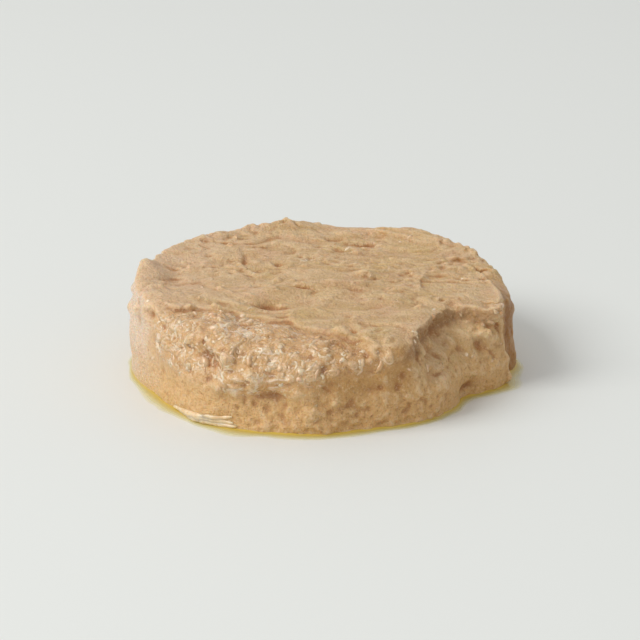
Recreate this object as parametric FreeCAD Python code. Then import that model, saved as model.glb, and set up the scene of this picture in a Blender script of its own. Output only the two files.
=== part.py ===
"""A turned-out disc of moist minced-fish pate, as it slides in one piece out of a low round can.

The disc stands on the flat face that was at the can's open end. +Z is up, -Y is the front and the
origin is the middle of the bottom of its box. Lengths are in millimetres and angles in degrees,
counted anticlockwise from +X seen from above, so the front is at -90.

One smooth skin, a periodic cubic B-spline over a net of poles, gives the wall, the shoulder and the
top. Each column of the net is a profile from the foot to the middle. It is worked out from a foot
outline, a shoulder that is broad at the front and tight elsewhere, a tear that sets the rim back
and undercuts it, a flap whose free edge stands proud of the wall and of the rim behind it, and
lists of swells and hollows. The columns lean with the flap, and the rows close up along its edge.
"""
import math
import os

import FreeCAD
import Part

# Driving dimensions
FOOT_RADIUS = 38.2      # mean radius of the foot
TOP_HEIGHT = 18.4       # middle of the top above the foot
TOP_TILT_X = -0.028     # rise of the top per millimetre towards +X: the left stands higher
TOP_TILT_Y = 0.010      # rise of the top per millimetre towards the back

# The skin's net: stretches of the rim, from and to, and the columns in each
COLUMN_STRETCHES = (
    (90.0, 200.0, 17),
    (200.0, 294.0, 17),
    (294.0, 335.0, 13),     # the tear
    (335.0, 352.0, 12),     # the flap and its edge
    (352.0, 390.0, 9),
    (390.0, 450.0, 9),
)
WALL_ROWS = 7           # rows of poles from the foot to the shoulder
SHOULDER_ROWS = 4       # rows of poles round the shoulder's quarter ellipse
TOP_ROWS = 11           # rows of poles from the shoulder to the middle
TOP_ROW_CROWDING = 1.4  # over 1, the top's rows lie closer together near the rim
SKIN_DEGREE = 3
MIDDLE_STEP = 5.0       # reach over which the slope in the middle is taken

# Shoulder: how far in from the wall it starts, and how far down it reaches
SHOULDER_TIGHT = (1.3, 1.1)     # at the back and the sides
SHOULDER_BROAD = (11.0, 5.6)    # at the front
SHOULDER_BROAD_AT = -97.0
SHOULDER_BROAD_SPREAD = 36.0

# Foot outline: direction, spread in degrees, swell of the radius
OUTLINE_SWELLS = (
    (2.0, 16.0, 2.2),
    (-36.0, 17.0, -3.6),
    (-72.0, 18.0, -1.9),
    (-122.0, 13.0, 0.8),
    (-152.0, 12.0, -1.1),
    (178.0, 14.0, 1.3),
    (128.0, 18.0, -0.9),
    (88.0, 20.0, -0.5),
    (52.0, 14.0, 0.7),
)

# Tear in the front right of the rim
TEAR_OPENS = (-67.0, -50.0)     # it deepens slowly from the front
TEAR_CLOSES = (-21.5, -16.5)    # and ends abruptly at the flap
TEAR_SETBACK = (5.2, 7.6)       # how far the lip lies in from the wall at each end
TEAR_UNDERCUT = 2.2         # how far the torn face runs in under the lip
TEAR_LOW = 6.5              # height where the torn face leaves the wall
TEAR_ROOT = 3.4             # depth of the deepest undercut below the top
TEAR_LIP = (1.0, 0.9)       # the crisp lip's shoulder, in and down

# Flap on the right: a sheet of pate that overlaps the wall and ends in a free upright edge
FLAP_EDGE = -13.5           # direction of the edge at the foot
FLAP_LEAN = 4.0             # degrees by which the edge leans to the front at the rim
FLAP_LEAN_SPREAD = 12.0     # degrees to each side over which the columns lean with it
FLAP_STEP = 2.2             # how far the wall behind the edge is set back
FLAP_EDGE_WIDTH = 1.6       # degrees over which the edge falls to the wall
FLAP_RECOVERY = 17.0        # degrees over which the wall behind comes out again
FLAP_THICKNESS = 1.8        # drop from the flap to the rim beyond its edge on the top
FLAP_TOP_END = 26.0         # direction where its edge on the top fades out
FLAP_TOP_INSET = (1.8, 6.2)     # how far inside the wall that edge lies, at the tip and at its end
FLAP_ROW_PULL = 0.75        # how strongly the top's rows close up along that edge
FLAP_ROW_REACH = 2.6        # and from how far

# Wall relief: direction, spread in degrees, height as a share of the top's, its spread in
# millimetres, swell of the radius
WALL_SWELLS = (
    (-172.0, 12.0, 0.49, 4.0, 0.9),  # bulge on the left
    (174.0, 14.0, 1.03, 4.5, -1.1),  # the left wall leans in at its top
    (-158.0, 5.0, 0.49, 8.0, 0.6),   # corner between the left and the front
    (-127.0, 8.0, 0.71, 3.0, -1.5),  # pocket torn in the front left
    (-113.0, 12.0, 0.57, 2.4, 1.1),  # brow over the hollow
    (-105.0, 8.0, 0.32, 2.8, -1.4),  # hollow under the brow
    (-93.0, 6.0, 0.27, 4.0, 1.1),    # column that runs down to the foot
    (-79.0, 8.0, 0.33, 3.6, -0.8),   # slack between the column and the right front
    (-58.0, 5.0, 0.72, 2.4, 1.6),    # lump at the start of the tear
    (-52.0, 8.0, 0.34, 3.6, 1.3),    # bulge under the tear
    (-31.0, 4.5, 0.72, 2.4, 2.0),    # lump inside the tear
    (-32.0, 3.6, 0.08, 2.6, -2.2),   # notch in the foot
    (-19.0, 4.0, 0.22, 4.0, 0.6),    # flare at the foot of the flap
    (-17.5, 4.0, 0.96, 3.0, 0.9),    # the flap's tip curls out
    (3.0, 9.0, 1.00, 4.5, -1.0),     # the right wall leans in at its top
    (35.0, 12.0, 0.65, 4.0, -0.7),
    (75.0, 10.0, 0.43, 4.0, 0.8),
    (112.0, 9.0, 0.60, 3.5, -0.9),
    (146.0, 10.0, 0.38, 4.0, 0.9),
)

# Top relief: x and y as shares of the foot's radius, half-length, half-width, turn of the long
# side, rise
TOP_SWELLS = (
    (-0.21, 0.93, 5.6, 4.0, 0.0, 1.5),      # lump on the back rim
    (-0.65, 0.68, 9.0, 4.0, 35.0, 0.7),     # rough rim at the back left
    (-0.94, 0.16, 9.0, 3.4, 88.0, 1.7),     # raised rim on the left
    (-0.89, -0.29, 5.0, 3.4, 70.0, 0.9),
    (0.58, 0.76, 11.0, 4.0, -32.0, 0.9),    # rim at the back right
    (-0.47, 0.10, 15.0, 10.0, 10.0, -0.9),  # basin on the left
    (-0.80, 0.13, 7.0, 3.0, 82.0, -0.8),    # groove inside the left rim
    (-0.21, -0.16, 14.0, 3.4, 30.0, 1.3),   # ridge across the top
    (-0.24, -0.34, 6.0, 4.0, 20.0, -1.3),   # dip in front of the ridge
    (0.26, 0.21, 10.0, 4.0, 12.0, 0.6),
    (0.13, 0.60, 13.0, 4.0, 4.0, -0.6),     # furrow before the back rim
    (0.16, -0.63, 7.0, 4.0, 8.0, -0.8),     # dip at the front
    (0.52, -0.16, 9.0, 4.0, 15.0, 0.5),
)


def bell(distance):
    """1 at 0, falling smoothly to almost nothing at 2."""
    return math.exp(-distance * distance)


def ramp(value, start, end):
    """0 at the start, 1 at the end, smooth between them and level outside."""
    share = min(max((value - start) / (end - start), 0.0), 1.0)
    return share * share * (3.0 - 2.0 * share)


def apart(angle, other):
    """The angle between two directions, from -180 to 180."""
    return (angle - other + 180.0) % 360.0 - 180.0


def column_angles():
    """The direction of every column of the net, once round from the back."""
    return [
        start + (end - start) * i / count for start, end, count in COLUMN_STRETCHES for i in range(count)
    ]


def tear_share(angle):
    """1 in the middle of the tear, 0 away from it."""
    direction = apart(angle, 0.0)
    return ramp(direction, *TEAR_OPENS) * (1.0 - ramp(direction, *TEAR_CLOSES))


def tear_setback(angle):
    """How far the tear sets the rim back in one direction."""
    along = (apart(angle, 0.0) - TEAR_OPENS[1]) / (TEAR_CLOSES[0] - TEAR_OPENS[1])
    first, last = TEAR_SETBACK
    return tear_share(angle) * (first + (last - first) * min(max(along, 0.0), 1.0))


def leaning(angle, height):
    """The direction of a column at one height: near the flap the columns lean with its edge."""
    near = bell(apart(angle, FLAP_EDGE) / FLAP_LEAN_SPREAD)
    return angle - FLAP_LEAN * near * height / TOP_HEIGHT


def foot_radius(angle):
    """Radius of the foot's outline in one direction."""
    return FOOT_RADIUS + sum(
        swell * bell(apart(angle, at) / spread) for at, spread, swell in OUTLINE_SWELLS
    )


def shoulder(angle):
    """How far in from the wall and how far down the shoulder reaches in one direction."""
    broad = bell(apart(angle, SHOULDER_BROAD_AT) / SHOULDER_BROAD_SPREAD)
    torn = tear_share(angle)
    return tuple(
        (tight + (wide - tight) * broad) * (1.0 - torn) + lip * torn
        for tight, wide, lip in zip(SHOULDER_TIGHT, SHOULDER_BROAD, TEAR_LIP)
    )


def flap_step(angle):
    """How far the flap's free edge leaves the wall set back in one direction."""
    past = apart(angle, FLAP_EDGE)
    if past <= 0.0:
        return 0.0
    return FLAP_STEP * ramp(past, 0.0, FLAP_EDGE_WIDTH) * (1.0 - ramp(past, FLAP_EDGE_WIDTH, FLAP_RECOVERY))


def outer_radius(column, height):
    """Radius of a column of the wall at one height, with its relief and the flap's step."""
    angle = leaning(column, height)
    return foot_radius(angle) - flap_step(column) + sum(
        swell * bell(apart(angle, at) / spread) * bell((height - level * TOP_HEIGHT) / reach)
        for at, spread, level, reach, swell in WALL_SWELLS
    )


def wall_radius(column, height):
    """Radius of a column of the wall at one height, cut back to the torn face."""
    torn_face = ramp(height, TEAR_LOW, TOP_HEIGHT - TEAR_ROOT)
    cut = tear_setback(column) + TEAR_UNDERCUT * tear_share(column)
    return outer_radius(column, height) - torn_face * cut


def flap_inset(angle):
    """How far inside the wall the flap's edge on the top lies in one direction."""
    along = (apart(angle, FLAP_EDGE) + FLAP_LEAN) / (FLAP_TOP_END + FLAP_LEAN - FLAP_EDGE)
    tip, end = FLAP_TOP_INSET
    return tip + (end - tip) * min(max(along, 0.0), 1.0)


def beyond_flap(angle):
    """1 in the directions where the flap's edge crosses the top, 0 elsewhere."""
    rim_edge = FLAP_EDGE - FLAP_LEAN
    starts = ramp(apart(angle, rim_edge), 0.0, FLAP_EDGE_WIDTH)
    return starts * (1.0 - ramp(apart(angle, FLAP_TOP_END / 2.0), 0.0, FLAP_TOP_END / 2.0))


def top_height(x, y):
    """Height of the top at one place, with its relief and the drop beyond the flap's edge."""
    height = TOP_HEIGHT + TOP_TILT_X * x + TOP_TILT_Y * y
    for at_x, at_y, length, width, turn, swell in TOP_SWELLS:
        c, s = math.cos(math.radians(turn)), math.sin(math.radians(turn))
        dx, dy = x - at_x * FOOT_RADIUS, y - at_y * FOOT_RADIUS
        height += swell * bell(math.hypot((dx * c + dy * s) / length, (dy * c - dx * s) / width))
    angle = math.degrees(math.atan2(y, x))
    past_edge = math.hypot(x, y) - (foot_radius(angle) - flap_inset(angle))
    return height - FLAP_THICKNESS * beyond_flap(angle) * ramp(past_edge, 0.0, 0.8)


def middle_height(x, y):
    """Height of the plane that touches the top in the middle, so that the skin closes smoothly there."""
    rise_x = (top_height(MIDDLE_STEP, 0.0) - top_height(-MIDDLE_STEP, 0.0)) / (2.0 * MIDDLE_STEP)
    rise_y = (top_height(0.0, MIDDLE_STEP) - top_height(0.0, -MIDDLE_STEP)) / (2.0 * MIDDLE_STEP)
    return top_height(0.0, 0.0) + rise_x * x + rise_y * y


def polar(angle, radius, height):
    """A point from its direction, its distance from the axis and its height."""
    return FreeCAD.Vector(
        radius * math.cos(math.radians(angle)), radius * math.sin(math.radians(angle)), height
    )


def row_radius(angle, rim, row):
    """How far out a row of the top lies in one direction, closed up along the flap's edge."""
    radius = rim * (1.0 - (row / TOP_ROWS) ** TOP_ROW_CROWDING)
    edge = foot_radius(angle) - flap_inset(angle) + 0.4
    near = bell((radius - edge) / FLAP_ROW_REACH) if 0 < row < TOP_ROWS - 1 else 0.0
    return radius + (edge - radius) * FLAP_ROW_PULL * near * beyond_flap(angle)


def column_of_poles(column):
    """One column of the net, from the foot up the wall, round the shoulder and in to the middle."""
    inwards, down = shoulder(column)
    at_top = leaning(column, TOP_HEIGHT)
    rim = outer_radius(column, TOP_HEIGHT) - tear_setback(column) - inwards
    at_rim = polar(at_top, rim, 0.0)
    rim_height = top_height(at_rim.x, at_rim.y)
    spring = rim_height - down
    poles = []
    for row in range(WALL_ROWS):
        height = spring * row / WALL_ROWS
        poles.append(polar(leaning(column, height), wall_radius(column, height), height))
    for row in range(SHOULDER_ROWS):
        turn = math.radians(90.0 * row / SHOULDER_ROWS)
        poles.append(polar(at_top, rim + inwards * math.cos(turn), spring + down * math.sin(turn)))
    for row in range(TOP_ROWS):
        at = polar(at_top, row_radius(at_top, rim, row), 0.0)
        innermost = row == TOP_ROWS - 1
        height = middle_height(at.x, at.y) if innermost else top_height(at.x, at.y)
        poles.append(FreeCAD.Vector(at.x, at.y, height))
    poles.append(FreeCAD.Vector(0.0, 0.0, middle_height(0.0, 0.0)))
    return poles


def skin():
    """The wall, shoulder and top as one periodic B-spline face."""
    net = [column_of_poles(angle) for angle in column_angles()]
    columns, rows = len(net), len(net[0])
    spans = rows - SKIN_DEGREE
    surface = Part.BSplineSurface()
    surface.buildFromPolesMultsKnots(
        net,
        [1] * (columns + 1),
        [SKIN_DEGREE + 1] + [1] * (spans - 1) + [SKIN_DEGREE + 1],
        [float(i) for i in range(columns + 1)],
        [float(i) for i in range(spans + 1)],
        True,
        False,
        SKIN_DEGREE,
        SKIN_DEGREE,
    )
    return surface.toShape()


def foot_face(wall_face):
    """The flat face inside the skin's lowest edge."""
    lowest = min(wall_face.Edges, key=lambda edge: edge.BoundBox.ZMax)
    return Part.Face(Part.Wire([lowest]))


def pate():
    """The skin closed by the foot, as one solid."""
    wall_face = skin()
    shell = Part.makeShell([wall_face, foot_face(wall_face)])
    shell.sewShape()
    solid = Part.Solid(shell)
    if solid.Volume < 0:
        solid.reverse()
    return solid


def centred(solid):
    """The solid moved so that the origin is the middle of the bottom of its box."""
    box = solid.optimalBoundingBox(False)
    return solid.translated(
        FreeCAD.Vector(-(box.XMin + box.XMax) / 2, -(box.YMin + box.YMax) / 2, -box.ZMin)
    )


def main():
    os.makedirs("parts", exist_ok=True)
    solid = centred(pate())
    print(
        "pate: valid", solid.isValid(), "faces", len(solid.Faces),
        "volume cm3", round(solid.Volume / 1000, 1), "box", solid.optimalBoundingBox(False),
    )
    solid.exportStep("parts/pate.step")


main()
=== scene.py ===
"""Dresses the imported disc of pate: the moist minced flesh with its smeared top, grainy front, torn
rim and flap, a strip of sinew and the thin juice round its foot, on a pale floor in soft light.

Blender works in metres. The pate's relief is worked out in millimetres on a grid of voxels round
the CAD solid, so that grains, terraces, pores and crevices are real geometry.
"""
import itertools
import math

import bmesh
import bpy
import numpy as np
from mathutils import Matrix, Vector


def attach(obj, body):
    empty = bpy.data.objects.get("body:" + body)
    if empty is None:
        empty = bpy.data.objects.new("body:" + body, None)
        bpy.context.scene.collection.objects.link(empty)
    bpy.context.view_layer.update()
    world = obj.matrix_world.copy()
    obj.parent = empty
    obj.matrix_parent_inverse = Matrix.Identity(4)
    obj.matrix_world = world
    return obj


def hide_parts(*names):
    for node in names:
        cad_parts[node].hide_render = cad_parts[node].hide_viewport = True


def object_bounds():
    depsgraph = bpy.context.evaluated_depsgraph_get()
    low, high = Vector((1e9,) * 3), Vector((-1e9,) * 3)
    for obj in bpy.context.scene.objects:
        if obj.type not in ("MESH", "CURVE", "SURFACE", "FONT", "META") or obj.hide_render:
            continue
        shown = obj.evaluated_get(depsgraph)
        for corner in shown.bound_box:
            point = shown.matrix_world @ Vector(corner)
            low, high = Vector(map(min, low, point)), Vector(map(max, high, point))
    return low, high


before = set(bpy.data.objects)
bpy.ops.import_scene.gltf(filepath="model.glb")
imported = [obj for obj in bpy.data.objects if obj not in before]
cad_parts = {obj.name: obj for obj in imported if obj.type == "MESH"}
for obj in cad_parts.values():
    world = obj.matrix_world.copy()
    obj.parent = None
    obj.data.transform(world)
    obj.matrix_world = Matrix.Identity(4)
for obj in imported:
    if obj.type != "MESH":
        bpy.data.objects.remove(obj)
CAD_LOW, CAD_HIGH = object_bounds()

import openvdb
from mathutils import Vector

MM = 0.001
SEED = 11

# The disc, in millimetres, from the frame
LOW, HIGH = (np.array(corner) / MM for corner in (CAD_LOW, CAD_HIGH))
RADIUS = (HIGH[0] - LOW[0]) / 2
HEIGHT = HIGH[2]

# The grid that the relief is worked out on. Every seed below is SEED plus a number of its own, so
# that no two patterns lie alike. Lengths and heights of relief are in millimetres.
VOXEL = 0.37
BAND = 2.6              # how far from the CAD skin the relief may reach


# ---------------------------------------------------------------- noise on arrays of points

def lattice(cell, seed):
    """A random number from 0 to 1 for each integer cell, given as three arrays."""
    x, y, z = (c.astype(np.uint32) for c in cell)
    h = x * np.uint32(374761393) + y * np.uint32(668265263) + z * np.uint32(3266489917)
    h += np.uint32((seed * 2654435761) % 2**32)
    h = (h ^ (h >> np.uint32(15))) * np.uint32(2246822519)
    h = (h ^ (h >> np.uint32(13))) * np.uint32(3266489917)
    return ((h ^ (h >> np.uint32(16))) >> np.uint32(8)).astype(np.float32) / np.float32(2**24)


def noise(points, size, seed):
    """Smooth noise from -1 to 1. size is its wavelength in millimetres, one number or one an axis."""
    q = points / np.asarray(size, np.float32)
    base = np.floor(q)
    t = q - base
    t = t * t * (3 - 2 * t)
    base = base.astype(np.int32)
    total = np.zeros(len(points), np.float32)
    for corner in itertools.product((0, 1), repeat=3):
        weight = np.ones(len(points), np.float32)
        for axis in range(3):
            weight *= t[:, axis] if corner[axis] else 1 - t[:, axis]
        total += weight * lattice([base[:, axis] + corner[axis] for axis in range(3)], seed)
    return 2 * total - 1


def layered(points, size, seed, octaves=3, gain=0.5):
    """Noise with finer and weaker noise on top of it."""
    size = np.asarray(size, np.float32)
    total = sum(gain**i * noise(points, size / 2**i, seed + 37 * i) for i in range(octaves))
    return total / sum(gain**i for i in range(octaves))


def cells(points, size, seed, jitter=0.7):
    """Distance to the nearest scattered centre, in cell sizes, and that centre's own random number."""
    q = points / np.asarray(size, np.float32)
    base = np.floor(q - 0.5).astype(np.int32)
    best = np.full(len(points), 9.0, np.float32)
    mark = np.zeros(len(points), np.float32)
    for corner in itertools.product((0, 1), repeat=3):
        cell = [base[:, axis] + corner[axis] for axis in range(3)]
        d2 = np.zeros(len(points), np.float32)
        for axis in range(3):
            centre = cell[axis] + 0.5 + jitter * (lattice(cell, seed + 101 * axis) - 0.5)
            d2 += (q[:, axis] - centre) ** 2
        nearer = d2 < best
        best = np.where(nearer, d2, best)
        mark = np.where(nearer, lattice(cell, seed + 733), mark)
    return np.sqrt(best), mark


def ramp(value, start, end):
    """0 at the start, 1 at the end, smooth between them and level outside."""
    share = np.clip((value - start) / (end - start), 0, 1)
    return share * share * (3 - 2 * share)


def scattered(height, points, size, seed, rare, reach):
    """Rounded lumps of a height, only in the cells whose own number is in or past the rare range."""
    distance, mark = cells(points, size, seed)
    return height * ramp(mark, *rare) * (1 - ramp(distance, *reach))


def bell(x, y=0.0):
    """1 at 0, falling smoothly to almost nothing at 2."""
    return np.exp(-(x * x + y * y))


def window(value, low, high, soft):
    """1 between low and high, falling to 0 over soft outside them."""
    return ramp(value, low - soft, low) * (1 - ramp(value, high, high + soft))


def apart(angle, other):
    """Angle between two directions in degrees, from -180 to 180."""
    return (angle - other + 180) % 360 - 180


# ---------------------------------------------------------------- where each kind of surface is

# The flap's free edge: its direction at the foot, its lean to the front at the rim, and how far
# inside the rim it runs across the top, at its tip and per degree
FLAP_EDGE = -13.5
FLAP_LEAN = 4.0
FLAP_INSET = 2.2
FLAP_INSET_GROWTH = 0.10


class Zones:
    """Shares, from 0 to 1, of each kind of surface at every point, and distances from their edges."""

    def __init__(self, p, up):
        x, y, z = p[:, 0], p[:, 1], p[:, 2]
        self.angle = np.degrees(np.arctan2(y, x))
        self.radius = np.hypot(x, y)
        wander = layered(p, 7.0, SEED + 1)
        self.top = ramp(up, 0.45, 0.8)
        self.wall = 1 - self.top
        # the grainy wet front runs from a line across the top to a soft edge half way down the wall
        self.before_ridge = -y - 15.5 - 0.50 * np.maximum(x + 20, 0) + 4.0 * wander
        lower_edge = 8.8 + 4.4 * ramp(self.angle, -108, -80) + 2.4 * wander
        self.grainy = (
            ramp(self.before_ridge, -0.5, 4.0)
            * ramp(z, lower_edge - 1.8, lower_edge + 1.8)
            * window(self.angle, -150, -67, 7)
        )
        # behind the flap's free edge: millimetres past it on the wall, and outwards of it on the top
        past = (self.angle - FLAP_EDGE + FLAP_LEAN * z / HEIGHT) * math.radians(RADIUS)
        self.past_flap = (past + 0.45 * noise(p * (0, 0, 1), 2.4, SEED + 3)
                          + 0.25 * noise(p, 1.3, SEED + 4))
        edge_radius = RADIUS - 0.8 - FLAP_INSET - FLAP_INSET_GROWTH * (self.angle - FLAP_EDGE)
        self.out_of_flap = self.radius - edge_radius
        # the strip behind the flap's edge, which the material darkens: mostly painted shade, with some
        # darker flesh
        self.behind = ramp(self.past_flap, 0.4, 1.2) * ramp(self.out_of_flap, 0.2, 1.0) * (
            1 - ramp(self.angle + 9 * wander, -9, 22))
        # the torn hollow under the rim at the front right, and the fold under its lip, which the
        # material darkens with painted shade and some darker flesh
        self.torn = (
            window(apart(self.angle, -38), -21, 19, 4) * window(z, 7.0, 16.6, 1.6) * self.wall
        )
        self.fold = (
            window(apart(self.angle + 5 * wander, -38), -22, 13, 5)
            * window(z + wander, 14.2, 18.5, 1.6) * ramp(RADIUS - self.radius, 1.0, 3.5) * self.wall
        )
        # the smooth facet on the left, the wall low down, and the back
        self.facet = window(np.abs(apart(self.angle + 8 * wander, 180)), 0, 21, 11) * self.wall
        self.low = (1 - ramp(z, 5.5, 9.5)) * self.wall
        self.back = ramp(y, 14, 26)

    def at(self, chosen):
        """The same shares for a few of the points."""
        part = Zones.__new__(Zones)
        part.__dict__ = {name: value[chosen] for name, value in self.__dict__.items()}
        return part


# ---------------------------------------------------------------- relief

def stepped(value, sharpness=0.8):
    """Terraces with a crisp edge in place of a rising value, less the value itself."""
    level = np.floor(value)
    return level + ramp(value - level, sharpness, 1.0) - value + 0.5


def ridged(p, size, seed):
    """Thin crests where the noise changes sign, from 0 between them to 1 on top."""
    return 1 - np.minimum(np.abs(noise(p, size, seed)) * 2.2, 1)


def warped(p, size, reach, seed):
    """The points pushed about at random, so that what is drawn on them bends."""
    return p + reach * np.stack([noise(p, size, seed + i) for i in range(3)], axis=1)


def top_relief(p, zone):
    """Smeared layers with a crisp edge towards the front, small pits and lumps."""
    turn = np.radians(6 + 22 * noise(p, 22.0, SEED + 14))
    c, s = np.cos(turn), np.sin(turn)
    along, across = p[:, 0] * c + p[:, 1] * s, p[:, 1] * c - p[:, 0] * s
    flow = warped(np.stack([along, across, p[:, 2]], axis=1), 7.0, 2.4, SEED + 2).astype(np.float32)
    slope = flow[:, 1] / 17.0
    broad = stepped(1.9 * layered(flow, (13, 10, 12), SEED + 5, 2) + slope, 0.72)
    middle = stepped(2.0 * layered(flow, (7, 5.6, 8), SEED + 6, 2) + slope, 0.62)
    patchy = ramp(noise(p, 9.0, SEED + 8), -0.3, 0.5)
    quiet = 1 - 0.6 * bell((p[:, 0] + 10) / 16, (p[:, 1] - 4) / 12)
    relief = 0.46 * broad + 0.15 * middle * quiet
    relief += 0.46 * quiet * layered(flow, (4.4, 4.0, 3.8), SEED + 9)
    relief += (0.10 + 0.20 * patchy) * noise(flow, (1.9, 1.7, 1.6), SEED + 7)
    relief += 0.14 * (0.5 + patchy) * noise(p, 0.95, SEED + 10)
    relief -= scattered(0.9, flow, (5.2, 3.6, 6), SEED + 12, (0.72, 0.9), (0.06, 0.28))
    relief += scattered(0.5, flow, (4.2, 3.2, 5), SEED + 13, (0.55, 0.8), (0.08, 0.34))
    return relief * (1 + 0.25 * zone.back)


def wall_relief(p, zone):
    """Pressed flesh: soft swells, faint grain and a few torn pores."""
    bent = warped(p, 5.0, 1.0, SEED + 20)
    relief = 0.75 * layered(bent, 6.0, SEED + 23, 2) + 0.26 * noise(bent, 2.2, SEED + 28)
    sandy = zone.low * window(zone.angle, -112, -50, 14)
    relief += ((0.16 + 0.12 * sandy) * noise(p, 1.1, SEED + 24)
               + (0.12 + 0.10 * sandy) * noise(p, 0.8, SEED + 25))
    scar = stepped(1.6 * noise(bent, (6, 6, 4), SEED + 26), 0.75)
    relief += 0.22 * scar * (0.4 + 0.6 * zone.back)
    relief -= scattered(0.35 * (1 - 0.8 * zone.low), p, 2.4, SEED + 27, (0.66, 0.85), (0.08, 0.28))
    return relief


def grainy_relief(p, zone):
    """Torn threads and crumbs of flesh that lie every way, with holes between them."""
    bent = warped(p, 2.6, 0.9, SEED + 30)
    crumb, mark = cells(bent, (2.1, 2.1, 1.7), SEED + 33, 0.95)
    relief = (0.06 + 0.30 * mark) * (1 - ramp(crumb, 0.22, 0.66)) - 0.08
    relief += 0.30 * ridged(bent, (3.2, 3.2, 2.0), SEED + 34) - 0.15
    relief += 0.14 * ridged(warped(p, 1.5, 0.4, SEED + 35), (1.5, 1.5, 1.1), SEED + 38) - 0.07
    relief += 0.34 * layered(bent, (2.6, 2.6, 1.8), SEED + 42, 2) + 0.10 * noise(p, 0.8, SEED + 39)
    relief += 0.85 * layered(p, 5.0, SEED + 40, 2)
    relief -= scattered(0.6, bent, 3.4, SEED + 41, (0.6, 0.85), (0.10, 0.32))
    return relief


def torn_relief(p, zone):
    """Coarse torn lumps with threads that run down and outwards."""
    bent = warped(p, 3.5, 1.0, SEED + 44)
    lump, mark = cells(bent, (5.0, 5.0, 4.4), SEED + 47, 0.9)
    relief = (0.10 + 0.5 * mark) * (1 - ramp(lump, 0.10, 0.72)) - 0.15
    z = p[:, 2]
    turned = np.stack([zone.angle * 0.62 + 0.25 * z, z * 0.35 + zone.radius * 0.4, zone.radius * 0.2],
                      axis=1)
    relief += 0.34 * ridged(turned.astype(np.float32), (1.6, 3.2, 3.0), SEED + 48) - 0.15
    relief += 0.44 * layered(p, 1.9, SEED + 49, 2) + 0.26 * noise(p, 0.9, SEED + 50)
    relief -= scattered(0.2, bent, 2.6, SEED + 51, (0.6, 0.85), (0.08, 0.3))
    return relief


def facet_relief(p, zone):
    """The smooth wet face on the left, with shallow upright streaks."""
    streaks = noise(p, (1.0, 1.6, 9.0), SEED + 52)
    return 0.18 * streaks + 0.28 * layered(p, (5, 5, 8), SEED + 53) + 0.06 * noise(p, 0.9, SEED + 54)


# Lumps, dips and pits that are too small for the CAD skin: middle, half-lengths, rise. A middle on
# the wall is a direction in degrees and a height, and one on the top is x and y.
WALL_MARKS = (
    (-156.0, 17.0, 1.6, 1.3, -1.0),     # pit in the lump at the front left corner
    (-158.0, 17.4, 3.4, 2.6, 1.0),
    (-176.0, 14.4, 1.6, 1.6, 1.1),      # knob on the left
    (-24.5, 12.8, 2.0, 2.0, 1.8),       # lumps in the tear
    (-28.0, 13.0, 1.8, 1.8, 0.6),
    (-40.0, 16.0, 3.0, 0.9, -0.4),      # fold over them
    (-20.8, 10.8, 1.6, 1.5, 0.9),
    (-18.5, 13.4, 0.9, 2.8, -0.4),      # groove beside the flap
    (-54.0, 13.8, 1.7, 1.7, 1.6),
    (-146.0, 13.0, 3.0, 3.4, 0.5),
    (-126.0, 14.2, 2.8, 2.2, -1.3),     # dark pocket
    (-119.0, 14.6, 1.4, 1.2, 0.9),
    (-111.0, 11.6, 2.4, 1.6, 0.9),      # brow over the hollow
    (-122.0, 8.4, 1.8, 1.6, 0.8),
    (-105.0, 7.6, 2.8, 1.7, -0.8),      # hollow
    (-90.0, 13.2, 1.3, 1.3, -0.9),
    (-86.0, 7.2, 1.8, 1.6, 0.8),
    (-74.0, 16.6, 1.7, 1.4, 1.1),       # pale lump by the tear
    (-69.0, 15.0, 1.2, 1.8, 0.8),
    (-60.0, 9.0, 2.6, 3.0, 0.7),
    (-48.0, 7.6, 2.0, 2.4, 0.7),
    (-41.0, 11.2, 1.6, 1.6, 0.6),
    (-27.0, 9.0, 1.6, 3.2, 0.6),
    (-33.0, 12.0, 1.1, 1.1, 0.9),
    (-44.0, 13.6, 1.3, 1.1, 0.8),
    (-20.0, 15.4, 1.4, 1.2, 0.8),
    (-33.5, 2.3, 2.4, 1.2, -0.9),       # dark cleft low at the right
    (-30.2, 2.7, 1.0, 0.9, -0.6),
    (-32.0, 1.2, 1.4, 0.8, 0.5),
    (-166.0, 16.2, 1.4, 1.6, 0.8),      # knobs down the left edge
    (178.0, 17.0, 1.6, 1.2, 0.9),
    (172.0, 12.6, 1.3, 1.8, 0.6),
)
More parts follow.
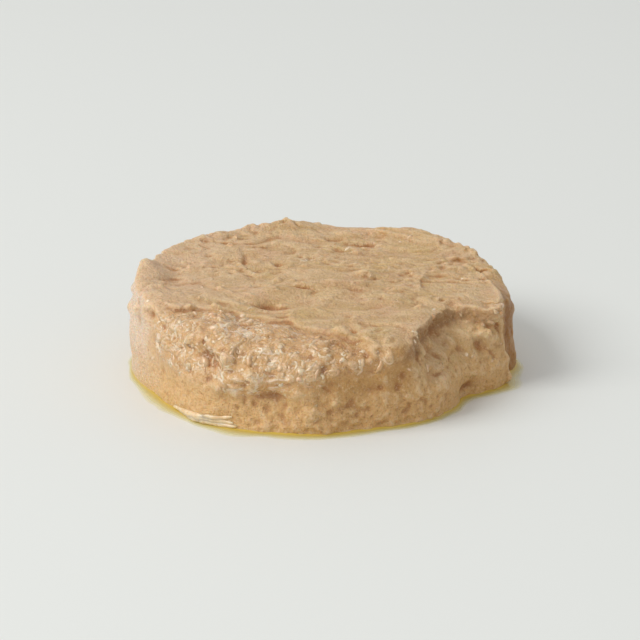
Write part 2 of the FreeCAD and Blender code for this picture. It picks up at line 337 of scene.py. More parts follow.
TOP_MARKS = (
    (2.0, 27.6, 2.0, 1.0, -1.3),        # pits
    (9.6, 25.6, 1.8, 0.9, -1.2),
    (-11.0, -12.7, 2.2, 1.2, -1.4),
    (-8.5, -6.8, 1.2, 0.6, -0.8),
    (-4.5, -4.5, 2.4, 0.5, -0.9),
    (-9.4, 12.0, 1.0, 0.7, -0.8),
    (-12.8, -2.2, 1.1, 0.7, -0.8),
    (-16.4, 13.4, 0.7, 2.6, -0.9),
    (6.9, 8.3, 1.2, 0.6, -0.7),
    (5.5, -25.8, 1.5, 0.9, -1.2),
    (3.2, -27.7, 1.9, 1.2, 1.1),        # pale crumbs
    (8.1, 4.5, 1.6, 1.2, 1.3),
    (20.1, 4.9, 1.3, 1.0, 0.9),
    (19.0, -13.4, 1.2, 0.9, 0.7),
    (-36.5, 6.6, 1.8, 1.8, 0.6),        # knob at the left corner
    (-33.9, -6.4, 2.0, 1.4, 0.8),
    (-24.0, 16.0, 1.2, 1.4, -0.8),
    (-30.5, 2.0, 1.4, 2.2, -0.4),
    (-8.0, 36.0, 3.2, 1.8, 0.2),        # lumps on the back rim
    (18.0, 33.0, 2.4, 1.2, 0.4),
    (21.6, 32.0, 2.4, 2.2, 0.3),
    (31.8, 21.8, 2.6, 2.4, 0.5),
    (26.8, 27.8, 3.0, 2.4, 0.2),
    (-9.0, -6.6, 2.0, 0.9, 0.6),        # ridge that runs up to the right from the front pit
    (-4.0, -3.2, 2.4, 0.8, 0.7),
    (1.8, -1.4, 2.6, 0.8, 0.6),
    (7.5, -0.6, 2.4, 0.8, 0.4),
)

# Broad slight dips, given in the same way, which the material doesn't shade
WALL_DIPS = (
    (178.0, 8.0, 9.0, 8.0, -0.4),
    (3.0, 10.0, 9.0, 9.0, -1.0),
)
TOP_DIPS = (
    (-35.0, 11.0, 4.4, 4.4, -0.8),
    (-28.0, 22.0, 4.0, 3.0, -0.5),
    (3.0, 36.0, 6.0, 2.6, -0.5),
)


def spots(p, zone, on_wall, on_top):
    """The rise of the lumps, dips and pits of a list for the wall and a list for the top."""
    total = np.zeros(len(p), np.float32)
    arc = np.radians(1) * RADIUS
    for angle, height, width, tall, rise in on_wall:
        x = apart(zone.angle, angle) * arc / width
        total += rise * bell(x, (p[:, 2] - height) / tall) * (zone.radius > RADIUS / 2)
    for at_x, at_y, length, width, rise in on_top:
        there = bell((p[:, 0] - at_x) / length, (p[:, 1] - at_y) / width)
        total += rise * there * ramp(p[:, 2], 12.0, 15.0)
    return total


def marks(p, zone):
    """The rise of the lumps and pits, the scarp across the top and the flap's edge."""
    total = spots(p, zone, WALL_MARKS, TOP_MARKS)
    # the scarp where the smeared top ends, the groove behind the flap's edge and its raised lip
    front = ramp(zone.before_ridge, 0.0, 0.9) * (1 - ramp(zone.before_ridge, 1.5, 9.0))
    front = front * window(zone.angle, -150, -70, 6)
    total -= 0.55 * front * zone.top
    up_wall = (1 - ramp(p[:, 2], HEIGHT - 4.5, HEIGHT - 3.0)) * window(zone.angle, -24, 0, 2)
    total -= (0.9 + 0.6 * noise(p, 3.4, SEED + 15)) * bell((zone.past_flap - 1.0) / 0.45) * up_wall
    ragged = 0.5 + 0.5 * noise(p, (9.0, 9.0, 1.9), SEED + 16)
    total += ragged * bell((zone.past_flap + 0.4) / 0.6) * up_wall
    over_top = window(zone.angle, -16, 22, 4) * ramp(p[:, 2], HEIGHT - 5.5, HEIGHT - 4.0)
    total -= 1.0 * bell((zone.out_of_flap - 0.8) / 0.5) * over_top
    total += 0.4 * bell((zone.out_of_flap + 0.5) / 0.6) * over_top
    return total


def relief_at(p, zone):
    """How far the skin stands out from the CAD solid's, in millimetres."""
    # the share of each kind, and its relief, which all take the same arguments
    kinds = (
        (zone.top * (1 - zone.grainy), top_relief),
        (zone.wall * (1 - zone.grainy) * (1 - zone.torn) * (1 - zone.facet), wall_relief),
        (zone.facet * (1 - zone.grainy), facet_relief),
        (zone.grainy, grainy_relief),
        (zone.torn * (1 - zone.grainy), torn_relief),
    )
    total = marks(p, zone) + spots(p, zone, WALL_DIPS, TOP_DIPS)
    for share, kind in kinds:
        there = np.flatnonzero(share > 0.002)
        total[there] += share[there] * kind(p[there], zone.at(there))
    return total


# ---------------------------------------------------------------- the voxel grid

class Field:
    """Signed distance in millimetres from the CAD solid, negative inside, on a box of voxels."""

    def __init__(self, node):
        mesh = node.data
        mesh.calc_loop_triangles()
        points = np.empty(len(mesh.vertices) * 3, np.float32)
        mesh.vertices.foreach_get("co", points)
        corners = np.empty(len(mesh.loop_triangles) * 3, np.int32)
        mesh.loop_triangles.foreach_get("vertices", corners)
        points = points.reshape(-1, 3) / np.float32(MM * VOXEL)
        grid = openvdb.FloatGrid.createLevelSetFromPolygons(
            points, triangles=corners.reshape(-1, 3).astype(np.uint32), halfWidth=BAND / VOXEL + 2
        )
        low, high = grid.evalActiveVoxelBoundingBox()
        self.low = np.array(low)
        self.values = np.empty([b - a + 1 for a, b in zip(low, high)], np.float32)
        grid.copyToArray(self.values, ijk=low)
        self.values *= VOXEL

    def at(self, points, values=None):
        """Values at points in millimetres, by trilinear interpolation."""
        values = self.values if values is None else values
        q = points / VOXEL - self.low
        q = np.clip(q, 0, np.array(values.shape) - 1.001)
        base = np.floor(q).astype(np.int32)
        t = q - base
        total = np.zeros(len(points), np.float32)
        for corner in itertools.product((0, 1), repeat=3):
            weight = np.ones(len(points))
            for axis in range(3):
                weight *= t[:, axis] if corner[axis] else 1 - t[:, axis]
            total += weight * values[tuple(base[:, axis] + corner[axis] for axis in range(3))]
        return total

    def polygons(self, values):
        """Points in millimetres and quads of the surface where values are 0."""
        grid = openvdb.FloatGrid(BAND)
        low = tuple(int(i) for i in self.low)
        grid.copyFromArray(np.ascontiguousarray(values, np.float32), ijk=low)
        points, _, quads = grid.convertToPolygons(0.0, 0.0)
        return points * VOXEL, quads


def blurred(values, reach):
    """Values averaged over a box that reaches a number of voxels each way."""
    for axis in range(3):
        padding = [(reach + 1, reach) if a == axis else (0, 0) for a in range(3)]
        total = np.cumsum(np.pad(values, padding, "edge"), axis)
        count = values.shape[axis]
        values = (total.take(range(2 * reach + 1, 2 * reach + 1 + count), axis)
                  - total.take(range(count), axis)) / (2 * reach + 1)
    return values


def carve(field):
    """The field with the relief added to it."""
    values = field.values
    near = np.abs(values) < BAND
    index = np.argwhere(near)
    p = ((index + field.low) * VOXEL).astype(np.float32)
    up = np.gradient(values, VOXEL, axis=2)[near]
    relief = relief_at(p, Zones(p, up)) * ramp(p[:, 2], -0.5, 1.2)
    carved = values.copy()
    carved[near] -= relief
    return carved


def cut_flat(field, values):
    """The values with everything below the floor taken off."""
    heights = (np.arange(values.shape[2]) + field.low[2]) * VOXEL
    return np.maximum(values, -heights[None, None, :])


def new_mesh(name, points, faces):
    """A smooth-shaded mesh object from points in metres, none of them below the floor."""
    points = np.array(points)
    points[:, 2] = np.maximum(points[:, 2], 0.0)
    mesh = bpy.data.meshes.new(name)
    mesh.from_pydata([tuple(p) for p in points], [], [tuple(int(i) for i in f) for f in faces])
    mesh.shade_smooth()
    piece = bpy.data.objects.new(name, mesh)
    bpy.context.scene.collection.objects.link(piece)
    return piece


def flat_foot(points, quads):
    """The quads with the flat of the foot replaced by one fan, and the points that are still used."""
    level = points[:, 2] < 0.2 * VOXEL
    foot = level[quads].all(axis=1)
    kept = quads[~foot]
    hole = quads[foot]
    sides = np.concatenate([hole[:, [i, (i + 1) % 4]] for i in range(4)])
    key = np.sort(sides, axis=1)
    _, first, count = np.unique(key, axis=0, return_index=True, return_counts=True)
    rim = sides[first[count == 1]]
    middle = len(points)
    points = np.concatenate([points, [[0.0, 0.0, 0.0]]])
    fan = np.stack([rim[:, 0], rim[:, 1], np.full(len(rim), middle)], axis=1)
    used = np.unique(np.concatenate([kept.ravel(), fan.ravel()]))
    renumber = np.zeros(len(points), np.int64)
    renumber[used] = np.arange(len(used))
    return points[used], [*renumber[kept].tolist(), *renumber[fan].tolist()]


# How broad the creases and the hollows are that the material darkens with painted shade, and whose
# crests it paints paler as painted highlight
CREASE_REACH = 0.7
HOLLOW_REACH = 2.2


def pate_body(field, carved):
    """The pate itself, which stands for the CAD node."""
    points, quads = field.polygons(cut_flat(field, carved))
    points[:, 2] = np.where(points[:, 2] < 0.35 * VOXEL, 0.0, points[:, 2])
    points, faces = flat_foot(points, quads)
    piece = new_mesh("pate_body", points * MM, faces)
    mesh = piece.data
    bm = bmesh.new()
    bm.from_mesh(mesh)
    bmesh.ops.recalc_face_normals(bm, faces=bm.faces)
    bm.to_mesh(mesh)
    bm.free()
    p = points.astype(np.float32)
    normals = np.empty(len(mesh.vertices) * 3, np.float32)
    mesh.vertices.foreach_get("normal", normals)
    zone = Zones(p, normals.reshape(-1, 3)[:, 2])
    for name, reach in (("crease", CREASE_REACH), ("hollow", HOLLOW_REACH)):
        paint(mesh, name, field.at(p, blurred(carved, round(reach / VOXEL))))
    paint(mesh, "mark", marks(p, zone))
    for name in ("behind", "grainy", "facet", "torn", "fold", "top", "low"):
        paint(mesh, name, getattr(zone, name))
    return piece


def paint(mesh, name, values):
    """Keeps one number a vertex for the material."""
    layer = mesh.attributes.new(name, "FLOAT", "POINT")
    layer.data.foreach_set("value", np.ascontiguousarray(values, np.float32))


# ---------------------------------------------------------------- threads and crumbs on the skin

SCATTER_FROM = 1.5      # nothing is scattered lower than this above the floor


class Skin:
    """The carved surface, for laying small things on it."""

    def __init__(self, field, carved, body):
        self.field = field
        self.carved = carved
        self.slopes = np.gradient(carved, VOXEL)
        mesh = body.data
        count = len(mesh.vertices)
        points, normals = np.empty(count * 3, np.float32), np.empty(count * 3, np.float32)
        mesh.vertices.foreach_get("co", points)
        mesh.vertices.foreach_get("normal", normals)
        self.points = points.reshape(-1, 3) / np.float32(MM)
        self.normals = normals.reshape(-1, 3)
        self.zone = Zones(self.points, self.normals[:, 2])

    def out(self, points):
        """The way out of the flesh at each point."""
        way = np.stack([self.field.at(points, slope) for slope in self.slopes], axis=1)
        return way / np.maximum(np.linalg.norm(way, axis=1, keepdims=True), 1e-6)

    def laid(self, points, height):
        """The points moved to a height above the surface."""
        for _ in range(3):
            points = points - self.out(points) * (self.field.at(points, self.carved) - height)[:, None]
        return points

    def chosen(self, density, count, rng):
        """Places picked at random where the density, one number a vertex, is high."""
        density = density * (self.points[:, 2] > SCATTER_FROM)
        return rng.choice(len(self.points), count, p=density / density.sum())


def threads(name, skin, places, rng, length, thick, height):
    """Short bent threads that lie on the surface, as one mesh. height is in half-thicknesses."""
    steps, sides = 7, 6
    count = len(places)
    point = skin.points[places].astype(np.float64)
    normal = skin.out(point)
    heading = np.cross(normal, rng.normal(size=(count, 3)))
    heading /= np.linalg.norm(heading, axis=1, keepdims=True)
    reach = rng.uniform(*length, count)
    girth = rng.uniform(*thick, count)
    turn = rng.normal(0, 0.55, count)
    path, ways = [], []
    for i in range(steps):
        point = skin.laid(point, height * girth)
        normal = skin.out(point)
        path.append(point)
        ways.append(normal)
        side = np.cross(normal, heading)
        heading = heading + side * (turn + rng.normal(0, 0.25, count))[:, None]
        heading -= normal * np.sum(heading * normal, axis=1, keepdims=True)
        heading /= np.linalg.norm(heading, axis=1, keepdims=True)
        point = point + heading * (reach / (steps - 1))[:, None]
    path, ways = np.array(path), np.array(ways)
    ahead = np.gradient(path, axis=0)
    ahead /= np.maximum(np.linalg.norm(ahead, axis=2, keepdims=True), 1e-6)
    across = np.cross(ways, ahead)
    taper = np.sin(np.linspace(0.12, 0.88, steps) * math.pi) ** 0.5
    lumpy = rng.uniform(0.75, 1.25, (steps, count))
    rings = []
    for i in range(sides):
        a = 2 * math.pi * i / sides
        size = (girth[None, :] * taper[:, None] * lumpy)[..., None]
        rings.append(path + size * (across * math.cos(a) + 0.8 * ways * math.sin(a)))
    points = np.array(rings).transpose(2, 1, 0, 3).reshape(-1, 3)
    a, b = np.meshgrid(np.arange(steps - 1), np.arange(sides), indexing="ij")
    quad = np.stack([a * sides + b, a * sides + (b + 1) % sides,
                     (a + 1) * sides + (b + 1) % sides, (a + 1) * sides + b], axis=-1).reshape(-1, 4)
    starts = np.arange(count)[:, None, None] * steps * sides
    faces = (quad[None] + starts).reshape(-1, 4).tolist()
    for first in (np.arange(count) * steps * sides).tolist():
        last = first + (steps - 1) * sides
        faces.append([first + i for i in reversed(range(sides))])
        faces.append([last + i for i in range(sides)])
    piece = new_mesh(name, points * MM, faces)
    paint(piece.data, "tint", np.repeat(rng.uniform(0, 1, count), steps * sides))
    paint(piece.data, "rosy", np.repeat(rng.uniform(0, 1, count) > 0.72, steps * sides))
    return piece


def crumbs(name, skin, places, rng, size, sunk):
    """Small uneven lumps sunk in the surface by a share of their half-height, as one mesh."""
    bm = bmesh.new()
    bmesh.ops.create_icosphere(bm, subdivisions=2, radius=1.0)
    ball = np.array([v.co[:] for v in bm.verts])
    shape = np.array([[v.index for v in f.verts] for f in bm.faces])
    bm.free()
    count = len(places)
    centre = skin.points[places].astype(np.float64)
    normal = skin.out(centre)
    first = np.cross(normal, rng.normal(size=(count, 3)))
    first /= np.linalg.norm(first, axis=1, keepdims=True)
    second = np.cross(normal, first)
    big = rng.uniform(*size, count) * rng.uniform(0.6, 1.0, count)
    flat = np.stack([big * rng.uniform(0.8, 1.5, count), big * rng.uniform(0.6, 1.0, count),
                     big * rng.uniform(0.35, 0.8, count)], axis=1)
    rough = 1 + 0.55 * noise((np.repeat(ball[None], count, 0) * 1.2
                             + rng.uniform(0, 99, (count, 1, 3))).reshape(-1, 3), 1.0, SEED + 60)
    local = np.repeat(ball[None], count, 0) * rough.reshape(count, -1, 1) * flat[:, None, :]
    points = (centre[:, None] - (sunk * flat[:, 2])[:, None, None] * normal[:, None]
              + local[..., :1] * first[:, None] + local[..., 1:2] * second[:, None]
              + local[..., 2:] * normal[:, None])
    faces = (shape[None] + np.arange(count)[:, None, None] * len(ball)).reshape(-1, 3).tolist()
    piece = new_mesh(name, points.reshape(-1, 3) * MM, faces)
    paint(piece.data, "tint", np.repeat(rng.uniform(0, 1, count), len(ball)))
    paint(piece.data, "rosy", np.repeat(rng.uniform(0, 1, count) > 0.8, len(ball)))
    return piece


# ---------------------------------------------------------------- the strip of sinew and the juice

def flesh_radius(skin, angles, heights):
    """How far out the flesh reaches in each direction at each height, in millimetres."""
    steps = np.arange(RADIUS + 4, RADIUS - 12, -0.1)
    around = np.stack([np.cos(np.radians(angles)), np.sin(np.radians(angles))], axis=1)
    points = np.empty((len(angles), len(steps), 3))
    points[..., :2] = around[:, None] * steps[None, :, None]
    points[..., 2] = np.broadcast_to(heights, len(angles))[:, None]
    inside = skin.field.at(points.reshape(-1, 3), skin.carved).reshape(len(angles), -1) < 0
    return steps[inside.argmax(axis=1)]


SINEW_STRANDS = (
    # from, to, height at the start and at the end, half-thickness along the wall and out of it
    (-141.0, -117.0, 1.00, 1.75, 0.74, 0.50),
    (-138.0, -116.0, 0.60, 1.10, 0.58, 0.55),
    (-130.0, -117.5, 1.60, 2.75, 0.50, 0.40),
)


SINEW_STEPS = 60
SINEW_SIDES = 10


def sinew_strip(skin):
    """Layered strands of gristle that cling to the front left of the foot."""
    sides, points, faces = SINEW_SIDES, [], []
    for start, end, height, last_height, tall, thick in SINEW_STRANDS:
        angles = np.linspace(start, end, SINEW_STEPS)
        share = np.linspace(0, 1, len(angles))
        line = np.stack([angles * 0.6, 0 * angles, 0 * angles + 3 * height], axis=1).astype(np.float32)
        wander = noise(line, 2.6, SEED + 70)
        up = height + (last_height - height) * share**1.5 + 0.35 * wander
        radius = flesh_radius(skin, angles, up)
        radius = np.convolve(np.pad(radius, 4, "edge"), np.ones(9) / 9, "valid") + 0.12
        taper = np.sqrt(np.clip(np.sin(math.pi * (0.03 + 0.94 * share)), 0, 1))
        taper = taper * (1 + 0.25 * noise(line, 1.1, SEED + 72))
        base = len(points)
        for i, a in enumerate(np.radians(angles)):
            way = np.array([math.cos(a), math.sin(a), 0.0])
            middle = way * radius[i] + np.array([0, 0, up[i]])
            for k in range(sides):
                turn = 2 * math.pi * k / sides
                points.append(middle + taper[i] * (way * thick * math.cos(turn)
                                                    + np.array([0, 0, tall]) * math.sin(turn)))
        for i in range(len(angles) - 1):
            for k in range(sides):
                a, b = base + i * sides + k, base + i * sides + (k + 1) % sides
                faces.append([a, b, b + sides, a + sides])
        faces.append([base + k for k in reversed(range(sides))])
        faces.append([base + (len(angles) - 1) * sides + k for k in range(sides)])
    return new_mesh("sinew_strip", np.array(points) * MM, faces)


JUICE_WIDTHS = (
    # direction, spread in degrees, how far the juice reaches from the foot
    (-146.0, 20.0, 2.3),
    (-100.0, 26.0, 1.3),
    (-12.0, 16.0, 2.2),
    (-50.0, 16.0, 1.2),
    (160.0, 30.0, 0.8),
    (70.0, 40.0, 0.7),
)
JUICE_DEPTH = 0.55      # height of its edge where it wets the flesh
JUICE_LEAST = 0.03      # height of its outer edge
JUICE_INNER = 1.2       # how far it runs in under the skin's relief
JUICE_AT = 0.35         # height at which the foot's outline is taken
JUICE_SHARES = (-1.0, -0.3, 0.0, 0.08, 0.2, 0.4, 0.65, 0.88, 1.0)   # its rings, from in to out


def juice_film(skin):
    """The thin juice that has run out round the foot, thick at the flesh and thinning outwards."""
    angles = np.arange(0, 360, 1.5) - 180
    foot = flesh_radius(skin, angles, JUICE_AT)
    foot = np.convolve(np.pad(foot, 2, "wrap"), np.ones(5) / 5, "valid")
    around = np.stack([np.cos(np.radians(angles)), np.sin(np.radians(angles)), 0 * angles], axis=1)
    reach = 0.9 + sum(w * np.exp(-(apart(angles, at) / spread) ** 2) for at, spread, w in JUICE_WIDTHS)
    reach = reach * (1 + 0.45 * noise((around * RADIUS).astype(np.float32), 9.0, SEED + 80)
                     + 0.2 * noise((around * RADIUS).astype(np.float32), 3.0, SEED + 81))
    points, depths = [], []
    for share in JUICE_SHARES:
        radius = foot + (reach * share if share > 0 else JUICE_INNER * share)
        fall = (1 - max(share, 0)) ** 2
        height = JUICE_LEAST + (JUICE_DEPTH * fall) * np.minimum(reach / 1.2, 1)
        points.append(around * radius[:, None] + np.array([0, 0, 1.0]) * height[:, None])
        depths.append(np.full(len(angles), 1 - max(share, 0)))
    count = len(angles)
    corners = ((0, 0), (0, 1), (1, 1), (1, 0))
    faces = [[(j + out) * count + (i + on) % count for out, on in corners]
             for j in range(len(JUICE_SHARES) - 1) for i in range(count)]
    piece = new_mesh("juice_film", np.concatenate(points) * MM, faces)
    paint(piece.data, "depth", np.concatenate(depths))
    return piece


# ---------------------------------------------------------------- materials

class Nodes:
    """Short names for building a material's nodes."""

    def __init__(self, name):
        self.material = bpy.data.materials.new(name)
        self.material.use_nodes = True
        self.tree = self.material.node_tree
        self.shader = self.tree.nodes["Principled BSDF"]

    def add(self, kind, **values):
        """A new node with its settings."""
        node = self.tree.nodes.new(kind)
        for key, value in values.items():
            setattr(node, key, value)
        return node

    def join(self, source, target):
        """Links an output to an input."""
        self.tree.links.new(source, target)

    def feed(self, socket, value):
        """Links a socket to another, or sets it to a plain value."""
        if hasattr(value, "is_linked"):
            self.join(value, socket)
        else:
            socket.default_value = value

    def place(self):
        """The point on the piece, in metres."""
        return self.add("ShaderNodeTexCoord").outputs["Object"]

    def attribute(self, name):
        """A number that paint kept."""
        return self.add("ShaderNodeAttribute", attribute_name=name).outputs["Fac"]

    def stretch(self, vector, scale):
        """The point with each axis scaled: a smaller scale draws a pattern out longer."""
        node = self.add("ShaderNodeMapping")
        self.join(vector, node.inputs["Vector"])
        node.inputs["Scale"].default_value = scale
        return node.outputs["Vector"]

    def noise(self, vector, wavelength, detail=3.0, roughness=0.55, distortion=0.0):
        """Blender's noise, with its wavelength in metres."""
        node = self.add("ShaderNodeTexNoise")
        self.join(vector, node.inputs["Vector"])
        node.inputs["Scale"].default_value = 1.0 / wavelength
        node.inputs["Detail"].default_value = detail
        node.inputs["Roughness"].default_value = roughness
        node.inputs["Distortion"].default_value = distortion
        return node.outputs["Fac"]

    def grains(self, vector, wavelength):
        """Distance to the nearest scattered centre."""
        node = self.add("ShaderNodeTexVoronoi")
        self.join(vector, node.inputs["Vector"])
        node.inputs["Scale"].default_value = 1.0 / wavelength
        return node.outputs["Distance"]

    def math(self, operation, a, b):
        """Two values put together."""
        node = self.add("ShaderNodeMath", operation=operation)
        self.feed(node.inputs[0], a)
        self.feed(node.inputs[1], b)
        return node.outputs[0]

    def times(self, a, b):
        """Two values multiplied."""
        return self.math("MULTIPLY", a, b)

    def span(self, value, low, high, start=0.0, end=1.0):
        """value from low..high to start..end, smooth and clamped."""
        node = self.add("ShaderNodeMapRange", interpolation_type="SMOOTHSTEP")
        self.join(value, node.inputs["Value"])
        for name, number in zip(("From Min", "From Max", "To Min", "To Max"), (low, high, start, end)):
            self.feed(node.inputs[name], number)
        return node.outputs["Result"]

    def mix(self, share, a, b, blend="MIX"):
        """A share of colour b laid over colour a."""
        node = self.add("ShaderNodeMix", data_type="RGBA", blend_type=blend)
        self.feed(node.inputs["Factor"], share)
        self.feed(node.inputs["A"], a)
        self.feed(node.inputs["B"], b)
        return node.outputs["Result"]


def srgb(red, green, blue):
    """A colour as seen, 0 to 255 a channel, as linear light with alpha 1."""
    linear = [c / 255 / 12.92 if c <= 10 else ((c / 255 + 0.055) / 1.055) ** 2.4
              for c in (red, green, blue)]
    return (*linear, 1.0)


def pate_material():
    """Moist beige flesh: pale where smeared, wet at the front, orange brown in its pits, partly as
    painted shade.
    """
    n = Nodes("moist_pate")
    place = n.place()
    crease, hollow, grainy = n.attribute("crease"), n.attribute("hollow"), n.attribute("grainy")
    facet, torn, fold = n.attribute("facet"), n.attribute("torn"), n.attribute("fold")
    low, top, mark = n.attribute("low"), n.attribute("top"), n.attribute("mark")
    wall = n.span(top, 1.0, 0.0)

    parts = n.add("ShaderNodeSeparateXYZ")
    n.join(place, parts.inputs[0])
    across = parts.outputs["X"]
    smear = n.noise(n.stretch(place, (0.4, 1.0, 0.8)), 0.0036, 5.0, 0.6)
    blotch = n.noise(place, 0.008, 3.0)
    speck = n.noise(place, 0.0010, 3.0, 0.65)
    colour = n.mix(n.span(smear, 0.36, 0.64), srgb(200, 163, 112), srgb(216, 183, 137))
    colour = n.mix(n.span(blotch, 0.50, 0.68, 0.0, 0.6), colour, srgb(214, 174, 136))
    colour = n.mix(n.span(blotch, 0.48, 0.30, 0.0, 0.6), colour, srgb(202, 168, 106))
    patch = n.noise(place, 0.0024, 4.0, 0.6)
    colour = n.mix(n.span(patch, 0.55, 0.70, 0.0, 0.5), colour, srgb(190, 142, 92))
    # the left side paler and pinker: painted light from the lamp's side, partly the flesh's own paler
    # tone
    colour = n.mix(n.span(across, -0.008, -0.038, 0.0, 0.6), colour, srgb(226, 192, 156))
    colour = n.mix(n.times(wall, 0.6), colour, srgb(208, 166, 106))
    colour = n.mix(n.times(grainy, 0.8), colour, srgb(214, 164, 100))
    # painted shade: the wall and the grainy front darker and browner towards the right, away from the
    # lamp
    painted_right_shade = n.times(n.span(across, -0.010, 0.006, 0.0, 0.7), n.math("MAXIMUM", wall, grainy))
    colour = n.mix(painted_right_shade, colour, srgb(192, 142, 76))
    colour = n.mix(n.times(facet, 0.8), colour, srgb(234, 204, 174))
    colour = n.mix(n.times(torn, 0.7), colour, srgb(216, 178, 124))
    colour = n.mix(n.times(low, 0.7), colour, srgb(222, 178, 118))
    # crests painted paler: painted highlight along the edges of the relief
    colour = n.mix(n.span(crease, 0.03, 0.16, 0.0, 0.45), colour, srgb(230, 200, 158))
    # creases painted darker: painted shade, weaker on the top and low on the wall
    crease_shade = n.times(n.span(crease, -0.02, -0.20, 0.0, 0.8), n.span(top, 0.0, 1.0, 1.0, 0.7))
    crease_shade = n.times(crease_shade, n.span(low, 0.0, 1.0, 1.0, 0.6))
    colour = n.mix(crease_shade, colour, srgb(166, 108, 56))
    # hollows painted darker: painted shade, stronger on the grainy front
    hollow_shade = n.span(hollow, -0.05, -0.6, 0.0, n.span(grainy, 0.0, 1.0, 0.6, 0.85))
    colour = n.mix(hollow_shade, colour, srgb(176, 118, 62))
    # the fold under the tear's lip darkened: painted shade, with some darker flesh
    colour = n.mix(n.times(fold, 0.75), colour, srgb(156, 114, 72))
    # lumps paler, partly their own paler flesh and partly painted highlight; pits and grooves darker,
    # as painted shade
    colour = n.mix(n.span(mark, 0.25, 1.4, 0.0, 0.6), colour, srgb(230, 198, 150))
    colour = n.mix(n.span(mark, -0.3, -1.2, 0.0, 0.6), colour, srgb(160, 106, 58))
    colour = n.mix(n.span(speck, 0.56, 0.70, 0.0, 0.45), colour, srgb(170, 118, 70))
    sand = n.noise(place, 0.00045, 2.0, 0.7)
    dark = n.span(sand, 0.55, 0.72, 0.0, n.span(low, 0.0, 1.0, 0.4, 0.7))
    colour = n.mix(dark, colour, srgb(164, 114, 66))
    colour = n.mix(n.span(sand, 0.45, 0.30, 0.0, 0.45), colour, srgb(232, 200, 160))
    # pale specks, strongest on the grainy front, where they are painted glints of its wetness
    pale = n.times(n.span(speck, 0.42, 0.32, 0.0, 0.6), n.span(grainy, 0.0, 1.0, 0.35, 1.0))
    colour = n.mix(pale, colour, srgb(238, 210, 178))
    # pale cream patches on the grainy front, more to the left: pale fat with the wet highlight on it
    # painted in
    fat = n.noise(n.stretch(place, (0.8, 0.8, 1.5)), 0.0034, 4.0, 0.65, 0.8)
    fat = n.times(n.span(fat, 0.54, 0.64), n.span(grainy, 0.3, 1.0, 0.0, 0.75))
    fat = n.times(fat, n.span(across, 0.006, -0.010, 0.1, 1.0))
    colour = n.mix(fat, colour, srgb(248, 226, 198))
    # the strip behind the flap's edge darkened: mostly painted shade, with some darker flesh
    colour = n.mix(n.attribute("behind"), colour, (0.58, 0.42, 0.18, 1.0), "MULTIPLY")
    n.feed(n.shader.inputs["Base Color"], colour)

    wet = n.math("MAXIMUM", n.times(grainy, 0.95), n.times(facet, 0.7))
    rough = n.span(wet, 0.0, 1.0, 0.42, 0.20)
    rough = n.math("ADD", rough, n.span(speck, 0.3, 0.7, -0.06, 0.08))
    n.feed(n.shader.inputs["Roughness"], rough)
    n.shader.inputs["Subsurface Weight"].default_value = 0.40
    n.shader.inputs["Subsurface Radius"].default_value = (1.0, 0.55, 0.28)
    n.shader.inputs["Subsurface Scale"].default_value = 0.7 * MM
    n.feed(n.shader.inputs["Coat Weight"], wet)
    n.shader.inputs["Coat Roughness"].default_value = 0.10

    grain = n.math("ADD", n.noise(place, 0.0008, 4.0, 0.62), n.times(n.grains(place, 0.0008), -0.3))
    grain = n.math("ADD", grain, n.times(sand, 0.8))
    bump = n.add("ShaderNodeBump")
    bump.inputs["Strength"].default_value = 0.9
    bump.inputs["Distance"].default_value = 0.42 * MM
    n.join(grain, bump.inputs["Height"])
    n.join(bump.outputs["Normal"], n.shader.inputs["Normal"])
    n.join(bump.outputs["Normal"], n.shader.inputs["Coat Normal"])
    return n.material


def shred_material():
    """Pale wet threads and crumbs of flesh."""
    n = Nodes("wet_shreds")
    place = n.place()
    tint, rosy = n.attribute("tint"), n.attribute("rosy")
    colour = n.mix(tint, srgb(208, 162, 110), srgb(240, 214, 180))
    colour = n.mix(n.times(rosy, 0.4), colour, srgb(206, 152, 102))
    colour = n.mix(n.span(n.noise(place, 0.0006, 2.0), 0.4, 0.65, 0.0, 0.4), colour, srgb(196, 146, 96))
    n.feed(n.shader.inputs["Base Color"], colour)
    n.shader.inputs["Roughness"].default_value = 0.20
    n.shader.inputs["Subsurface Weight"].default_value = 0.3
    n.shader.inputs["Subsurface Radius"].default_value = (1.0, 0.55, 0.30)
    n.shader.inputs["Subsurface Scale"].default_value = 0.8 * MM
    n.shader.inputs["Coat Weight"].default_value = 0.7
    n.shader.inputs["Coat Roughness"].default_value = 0.15
    return n.material


def sinew_material():
    """Creamy, slightly clear gristle."""
    n = Nodes("sinew_gristle")
    place = n.place()
    streak = n.noise(n.stretch(place, (1.0, 1.0, 0.3)), 0.0011, 3.0)
    colour = n.mix(n.span(streak, 0.35, 0.65), srgb(236, 206, 168), srgb(222, 186, 140))
    n.feed(n.shader.inputs["Base Color"], colour)
    n.shader.inputs["Roughness"].default_value = 0.32
    n.shader.inputs["Subsurface Weight"].default_value = 0.5
    n.shader.inputs["Subsurface Radius"].default_value = (1.0, 0.7, 0.4)
    n.shader.inputs["Subsurface Scale"].default_value = 1.2 * MM
    n.shader.inputs["Coat Weight"].default_value = 0.35
    n.shader.inputs["Coat Roughness"].default_value = 0.15
    return n.material


def juice_material():
    """A thin clear yellow film of juice and fat: paler where it is thinner."""
    n = Nodes("thin_juice")
    depth = n.attribute("depth")
    colour = n.mix(n.span(depth, 0.2, 0.9), srgb(242, 232, 158), srgb(216, 186, 84))
    n.feed(n.shader.inputs["Base Color"], colour)
    n.shader.inputs["Roughness"].default_value = 0.08
    n.feed(n.shader.inputs["Alpha"], n.times(n.math("POWER", depth, 0.8), 0.9))
    return n.material


# ---------------------------------------------------------------- stage

DISC_MIDDLE = Vector((0.0, 0.0, HEIGHT / 2 * MM))

FLOOR_SIZE = 4.0


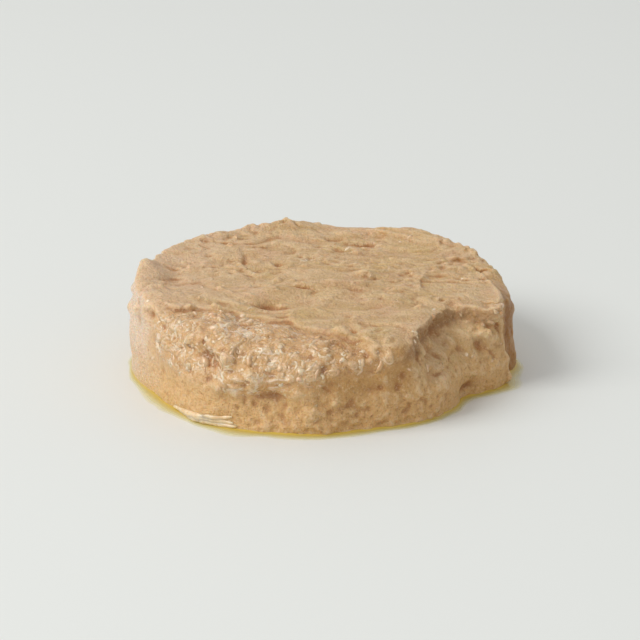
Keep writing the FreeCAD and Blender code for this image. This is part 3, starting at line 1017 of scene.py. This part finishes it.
def floor():
    """A wide pale plane."""
    bpy.ops.mesh.primitive_plane_add(size=FLOOR_SIZE)
    plane = bpy.context.object
    plane.name = "floor"
    n = Nodes("pale_floor")
    n.feed(n.shader.inputs["Base Color"], srgb(228, 230, 226))
    n.shader.inputs["Roughness"].default_value = 0.5
    n.shader.inputs["Specular IOR Level"].default_value = 0.2
    plane.data.materials.append(n.material)


def aim(thing, towards):
    """Turns a light or a camera to face a point."""
    direction = Vector(towards) - thing.location
    thing.rotation_euler = direction.to_track_quat("-Z", "Y").to_euler()


# The lamp: towards it from the disc, metres away, metres across, watts. It is far enough off that
# the floor under it doesn't clip to white.
KEY_DIRECTION = (-0.70, -0.26, 0.65)
KEY_DISTANCE = 1.6
KEY_SIZE = 0.88
KEY_POWER = 16.6
SURROUND_STRENGTH = 0.60


def lights():
    """One large soft light high on the left and a little in front, and an even pale surround."""
    data = bpy.data.lights.new("key", "AREA")
    data.size, data.energy = KEY_SIZE, KEY_POWER
    light = bpy.data.objects.new("key", data)
    bpy.context.scene.collection.objects.link(light)
    light.location = Vector(KEY_DIRECTION).normalized() * KEY_DISTANCE
    aim(light, DISC_MIDDLE)
    world = bpy.data.worlds.new("surround")
    bpy.context.scene.world = world
    world.use_nodes = True
    surround = world.node_tree.nodes["Background"]
    surround.inputs["Color"].default_value = (1.0, 1.0, 1.0, 1.0)
    surround.inputs["Strength"].default_value = SURROUND_STRENGTH


CAMERA_ELEVATION = 20.0     # degrees above the floor
CAMERA_DISTANCE = 0.6
CAMERA_SHIFT = -0.0055
DISC_SHARE = 0.611          # share of the picture's width that the disc's own width takes


def camera():
    """A long lens in front of the disc, looking down a little."""
    data = bpy.data.cameras.new("camera")
    eye = bpy.data.objects.new("camera", data)
    bpy.context.scene.collection.objects.link(eye)
    tilt = math.radians(CAMERA_ELEVATION)
    eye.location = DISC_MIDDLE + CAMERA_DISTANCE * Vector((0.0, -math.cos(tilt), math.sin(tilt)))
    aim(eye, DISC_MIDDLE)
    data.lens = data.sensor_width * DISC_SHARE * CAMERA_DISTANCE / (CAD_HIGH[0] - CAD_LOW[0])
    data.shift_x = CAMERA_SHIFT
    data.clip_start = 0.01
    bpy.context.scene.camera = eye


# ---------------------------------------------------------------- the scene

def dress(piece, slot, material, *replaced):
    """Gives a piece its material, says what it rides on and the CAD nodes it replaces; slot is not
    used.
    """
    piece.data.materials.append(material)
    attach(piece, "root")
    if replaced:
        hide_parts(*replaced)


# Threads: how many, their lengths, their half-thicknesses, and how far their middles lie off the
# surface in half-thicknesses. Crumbs: how many, their half-sizes, and how far they are sunk.
THREADS, THREAD_LENGTHS, THREAD_GIRTHS, THREAD_HEIGHT = 240, (1.2, 3.4), (0.24, 0.50), -0.5
CRUMBS, CRUMB_SIZES, CRUMB_SUNK = 420, (0.5, 1.1), 0.85

camera()
lights()
floor()
rng = np.random.default_rng(SEED)
field = Field(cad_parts["pate"])
carved = carve(field)
body = pate_body(field, carved)
dress(body, "pate", pate_material(), "pate")

skin = Skin(field, carved, body)
zone = skin.zone
shreds = shred_material()
places = skin.chosen(zone.grainy**2 + 0.004, THREADS, rng)
wet = threads("wet_threads", skin, places, rng, THREAD_LENGTHS, THREAD_GIRTHS, THREAD_HEIGHT)
dress(wet, "pate", shreds)
loose = (0.05 + 0.8 * zone.grainy + 0.25 * zone.torn + 0.15 * zone.back * zone.wall) * (1 - zone.behind)
places = skin.chosen(loose, CRUMBS, rng)
dress(crumbs("crumbs", skin, places, rng, CRUMB_SIZES, CRUMB_SUNK), "pate", shreds)
dress(sinew_strip(skin), "sinew", sinew_material())
dress(juice_film(skin), "juice", juice_material())

bpy.context.scene.view_settings.view_transform = "Standard"
